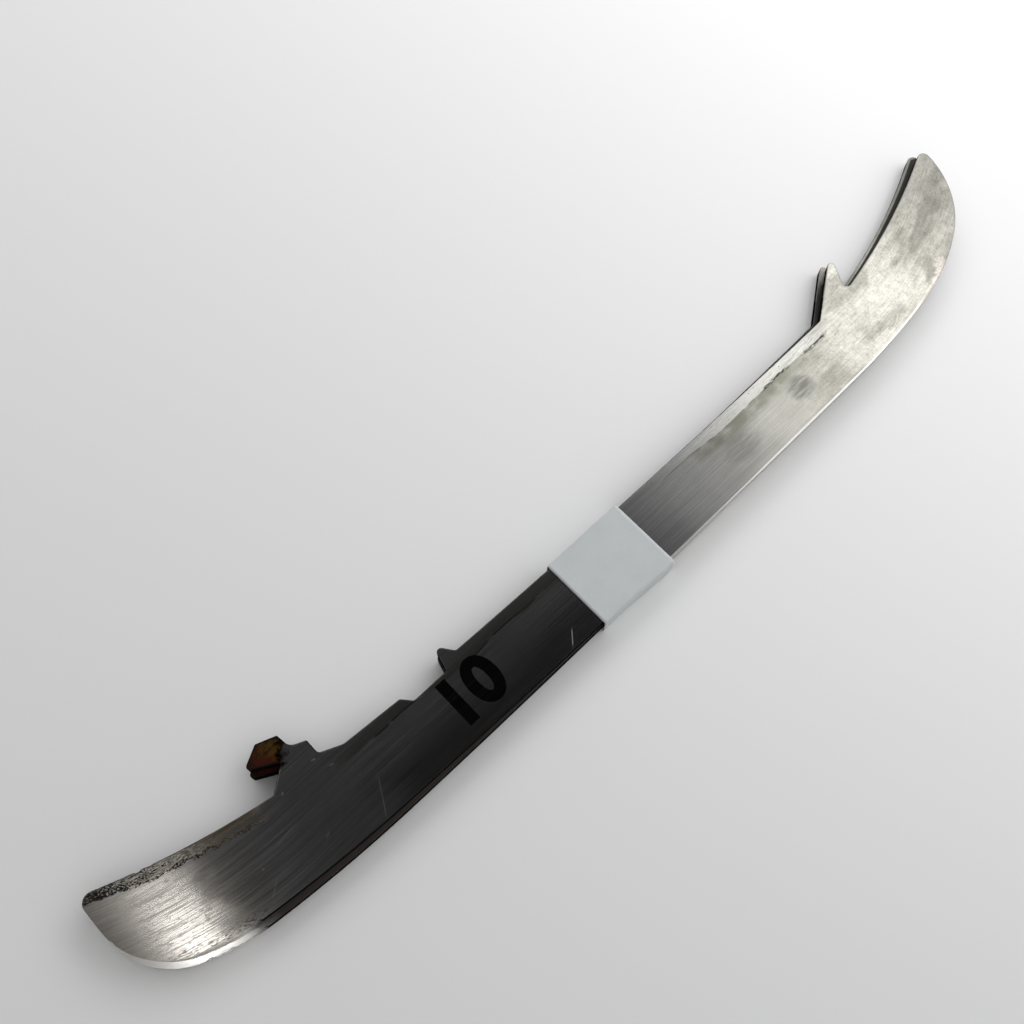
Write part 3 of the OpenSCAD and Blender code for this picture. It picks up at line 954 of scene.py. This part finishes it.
def make_runners():
    """Both runners, from the outline of the upper one; the lower one is turned as its joint says."""
    outline = top_outline("upper_runner")
    slide = next(j for j in frame["joints"] if j["name"] == "label_slide")
    turn = Matrix.Rotation(math.atan2(slide["axis"][1], slide["axis"][0]), 4, "Z")
    middle = Vector((*outline.mean(axis=0), 0)) * MM
    lower_middle = Vector((*top_outline("lower_runner").mean(axis=0), 0)) * MM
    shift = lower_middle - turn @ middle
    edges = [mount_edge_steel(), ice_edge_steel()]
    for name, place, nicks, turned, shade_and_grime in (
        ("upper_runner", Vector((0, 0, UPPER_LOW.z)), UPPER_NICKS, Matrix.Identity(4), UPPER_SHADE_AND_GRIME),
        ("lower_runner", shift + Vector((0, 0, LOWER_LOW.z)), LOWER_NICKS, turn, LOWER_SHADE_AND_GRIME),
    ):
        steels = [face_steel(name + "_face_steel", shade_and_grime)] + edges
        piece = add_piece(name + "_plate", runner_mesh(name + "_plate", outline, nicks), steels)
        piece.matrix_world = Matrix.Translation(place) @ turned
        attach(piece, name)
        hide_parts(name)


# Folds of the label in mm: radii inside the paper's middle, and how far the ice-side fold stands proud
FOLD = 0.42
SOFT_FOLD = 0.5
FOLD_STEPS = 8
LABEL_STEP = 0.75
PROUD_LEFT = 0.15
PROUD_RIGHT = 0.75

# Curl of the label's ends and the wave of its upper face, in mm; the wave's turn is in radians per mm
CURL_LEFT = 0.10
CURL_LEFT_REACH = 1.5
CURL_RIGHT = 0.05
CURL_RIGHT_REACH = 1.0
WAVE = 0.02
WAVE_ALONG = 0.55
WAVE_ACROSS = 0.35
ROOF_REACH = 0.5
ICE_FOLD_REACH = 2.0


def smooth(value, start, end):
    share = min(1, max(0, (value - start) / (end - start)))
    return share * share * (3 - 2 * share)


def folded_path(corners):
    """Points along a path of (y, z, fold radius) corners, with round folds and short straight steps."""
    path = []
    for i, (y, z, r) in enumerate(corners):
        here = Vector((y, z))
        if r == 0:
            path.append(here)
            continue
        back = (Vector(corners[i - 1][:2]) - here).normalized()
        on = (Vector(corners[i + 1][:2]) - here).normalized()
        centre = here + (back + on) * r
        for k in range(FOLD_STEPS + 1):
            a = k / FOLD_STEPS * math.pi / 2
            path.append(centre - on * r * math.cos(a) - back * r * math.sin(a))
    filled = [path[0]]
    for a, b in zip(path, path[1:]):
        count = max(1, math.ceil((b - a).length / LABEL_STEP))
        filled += [a + (b - a) * k / count for k in range(1, count + 1)]
    return filled


def label_mesh(paper):
    """The middle of the paper strip, from its start under the runners round them to its lapped tail."""
    low, high = LABEL_LOW / MM, LABEL_HIGH / MM
    glue_low, glue_high = GLUE_LOW / MM, GLUE_HIGH / MM
    top, ice = high.y - paper / 2, low.y + paper / 2
    roof, start, tail = high.z - paper / 2, glue_high.z + paper / 2, low.z + paper / 2
    path = folded_path([
        (glue_low.y, start, 0), (top, start, FOLD), (top, roof, FOLD),
        (ice, roof, SOFT_FOLD), (ice, tail, FOLD), (glue_high.y, tail, 0)])
    rows = math.ceil((high.x - low.x) / LABEL_STEP)
    vertices = []
    for i in range(rows + 1):
        x = low.x + (high.x - low.x) * i / rows
        proud = PROUD_LEFT + (PROUD_RIGHT - PROUD_LEFT) * smooth(x, low.x / 2, high.x)
        curl = CURL_LEFT * math.exp((low.x - x) / CURL_LEFT_REACH)
        curl += CURL_RIGHT * math.exp((x - high.x) / CURL_RIGHT_REACH)
        for y, z in path:
            on_roof = smooth(z, roof - ROOF_REACH, roof)
            at_ice = smooth(-y, -ice - ICE_FOLD_REACH, -ice)
            wave = WAVE * (1 + math.sin(WAVE_ALONG * x + WAVE_ACROSS * y))
            vertices.append((x, y - proud * at_ice, z + on_roof * (curl * (1 - at_ice) + wave)))
    width = len(path)
    faces = [[i * width + j, i * width + j + 1, (i + 1) * width + j + 1, (i + 1) * width + j]
             for i in range(rows) for j in range(width - 1)]
    mesh = bpy.data.meshes.new("label_wrap")
    mesh.from_pydata([Vector(v) * MM for v in vertices], [], faces)
    mesh.polygons.foreach_set("use_smooth", [True] * len(faces))
    return mesh


def make_label():
    """The paper strip, wrapped once round both runners with its tail lapped on the underside."""
    paper = (GLUE_LOW / MM).z - (LABEL_LOW / MM).z
    piece = add_piece("label_wrap", label_mesh(paper), [label_paper()])
    thick = piece.modifiers.new("paper", "SOLIDIFY")
    thick.thickness = paper * MM
    thick.offset = 0
    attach(piece, "label")
    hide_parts("label_band")
    glue = frame["nodes"]["label_adhesive"]
    glue.data.materials.clear()
    glue.data.materials.append(label_glue())


# Plain size number etched into the upper runner, in mm
MARK = "10"
MARK_PLACE = (-47.2, 9.3)
MARK_HEIGHT = 11.6
MARK_BOLD = 0.7
MARK_RAISE = 0.012
CAP_SHARE = 0.69                # height of a numeral in the built-in typeface, as a share of its size


def make_mark():
    """The number, as a thin mesh on the upper face."""
    curve = bpy.data.curves.new("size_mark", "FONT")
    curve.body = MARK
    curve.align_x = "CENTER"
    curve.align_y = "CENTER"
    curve.size = MARK_HEIGHT / CAP_SHARE * MM
    curve.offset = MARK_BOLD * MM
    curve.extrude = MARK_RAISE / 2 * MM
    text = bpy.data.objects.new("size_mark_text", curve)
    bpy.context.scene.collection.objects.link(text)
    bpy.context.view_layer.update()
    mesh = bpy.data.meshes.new_from_object(text.evaluated_get(bpy.context.evaluated_depsgraph_get()))
    bpy.data.objects.remove(text)
    mesh.materials.clear()
    mesh.name = "size_mark"
    x, y = MARK_PLACE
    mesh.transform(Matrix.Translation(Vector((x * MM, y * MM + ICE_LEVEL, MARK_RAISE / 2 * MM))))
    piece = add_piece("size_mark", mesh, [etched_black()])
    piece.location = (0, 0, UPPER_HIGH.z)
    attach(piece, "upper_runner")


def make_camera():
    tilt = math.radians(VIEW_TILT)
    sight = PICTURE_UP * math.sin(tilt) - STRAIGHT_UP * math.cos(tilt)
    upward = PICTURE_UP * math.cos(tilt) + STRAIGHT_UP * math.sin(tilt)
    point = Vector((VIEW_POINT[0] * MM, VIEW_POINT[1] * MM, UPPER_HIGH.z))
    camera = bpy.data.cameras.new("camera")
    camera.lens = VIEW_LENS
    camera.sensor_width = VIEW_SENSOR
    camera.clip_start = VIEW_NEAR
    camera.clip_end = VIEW_FAR
    made = bpy.data.objects.new("camera", camera)
    made.matrix_world = Matrix((PICTURE_RIGHT, upward, -sight)).transposed().to_4x4()
    made.location = point - sight * VIEW_DISTANCE * MM
    bpy.context.scene.collection.objects.link(made)
    bpy.context.scene.camera = made


FLOOR_REACH = 12.0              # m from the middle to the floor's edge
FLOOR_DROP = 0.00002            # m under the label
FLOOR_COLOUR = (0.84, 0.84, 0.84, 1)
FLOOR_ROUGHNESS = 0.6


def make_floor():
    r = FLOOR_REACH
    mesh = bpy.data.meshes.new("floor")
    corners = [(x, y, -FLOOR_DROP) for x, y in ((-r, -r), (r, -r), (r, r), (-r, r))]
    mesh.from_pydata(corners, [], [(0, 1, 2, 3)])
    material, s = new_material("floor")
    finish_material(s, base_color=FLOOR_COLOUR, roughness=FLOOR_ROUGHNESS)
    add_piece("floor", mesh, [material])


# Light in m: a soft box beyond the toe whose near side fades, a fill over each long side, a small
# lamp for the heel, and a room that is dark overhead
PANEL_HEIGHT = 0.32
BOX = ((0.28, -0.20), (0.85, 0.50))
BOX_RADIANCE = 2.05
FADE_START = 0.09
FADE_STRIPS = 8
FADE_POWER = 1.5
LEFT_FILL = ((-0.60, 0.45), (0.40, 1.30))
LEFT_FILL_HEIGHT = 0.65
LEFT_FILL_RADIANCE = 1.0
RIGHT_FILL = ((0.25, -0.55), (0.60, -0.25))
RIGHT_FILL_RADIANCE = 1.6
LAMP_HEIGHT = 1.2
LAMP_PLACE = (-0.305, 0.225)
LAMP_SIZE = 0.05
LAMP_RADIANCE = 15.0
ROOM_NEAR = 0.22
ROOM_FAR = 0.78
ROOM_SIDE = Vector((0.8, -0.45, 0.0)).normalized()
ROOM_OVERHEAD = 0.016
OVERHEAD = Vector((0.13, 0.16, 1.0)).normalized()
OVERHEAD_EDGE = 34              # degrees from the overhead direction to full brightness
OVERHEAD_CORE = 1               # degrees within which the room is darkest


def add_panel(name, low, high, height, radiance):
    """A flat light that faces straight down."""
    light = bpy.data.lights.new(name, "AREA")
    light.shape = "RECTANGLE"
    light.size = high[0] - low[0]
    light.size_y = high[1] - low[1]
    light.energy = radiance * math.pi * light.size * light.size_y
    made = bpy.data.objects.new(name, light)
    made.location = ((low[0] + high[0]) / 2, (low[1] + high[1]) / 2, height)
    made.visible_camera = False
    bpy.context.scene.collection.objects.link(made)


def make_panels():
    add_panel("soft_box", *BOX, PANEL_HEIGHT, BOX_RADIANCE)
    (edge, low_y), (_, high_y) = BOX
    width = (edge - FADE_START) / FADE_STRIPS
    for i in range(FADE_STRIPS):
        start = FADE_START + i * width
        radiance = BOX_RADIANCE * ((i + 0.5) / FADE_STRIPS) ** FADE_POWER
        add_panel(f"soft_box_fade_{i}", (start, low_y), (start + width, high_y), PANEL_HEIGHT, radiance)
    add_panel("left_fill", *LEFT_FILL, LEFT_FILL_HEIGHT, LEFT_FILL_RADIANCE)
    add_panel("right_fill", *RIGHT_FILL, PANEL_HEIGHT, RIGHT_FILL_RADIANCE)
    x, y = LAMP_PLACE
    r = LAMP_SIZE / 2
    add_panel("lamp", (x - r, y - r), (x + r, y + r), LAMP_HEIGHT, LAMP_RADIANCE)


def make_room():
    """White surroundings, brighter on one side and dark overhead."""
    world = bpy.data.worlds.new("room")
    world.use_nodes = True
    bpy.context.scene.world = world
    s = Shader(world.node_tree)
    ray = s.coordinates("Generated")
    side = s.span(s.dot(ray, ROOM_SIDE), -1.0, 1.0, ROOM_NEAR, ROOM_FAR)
    edge, core = (math.cos(math.radians(a)) for a in (OVERHEAD_EDGE, OVERHEAD_CORE))
    strength = s.product(side, s.span(s.dot(ray, OVERHEAD), edge, core, 1.0, ROOM_OVERHEAD))
    background = s.node("ShaderNodeBackground", {"Color": (1, 1, 1, 1), "Strength": strength})
    s.node("ShaderNodeOutputWorld", {"Surface": background.outputs[0]})


bpy.context.scene.view_settings.view_transform = "Standard"
make_camera()
make_floor()
make_panels()
make_room()
make_runners()
make_label()
make_mark()
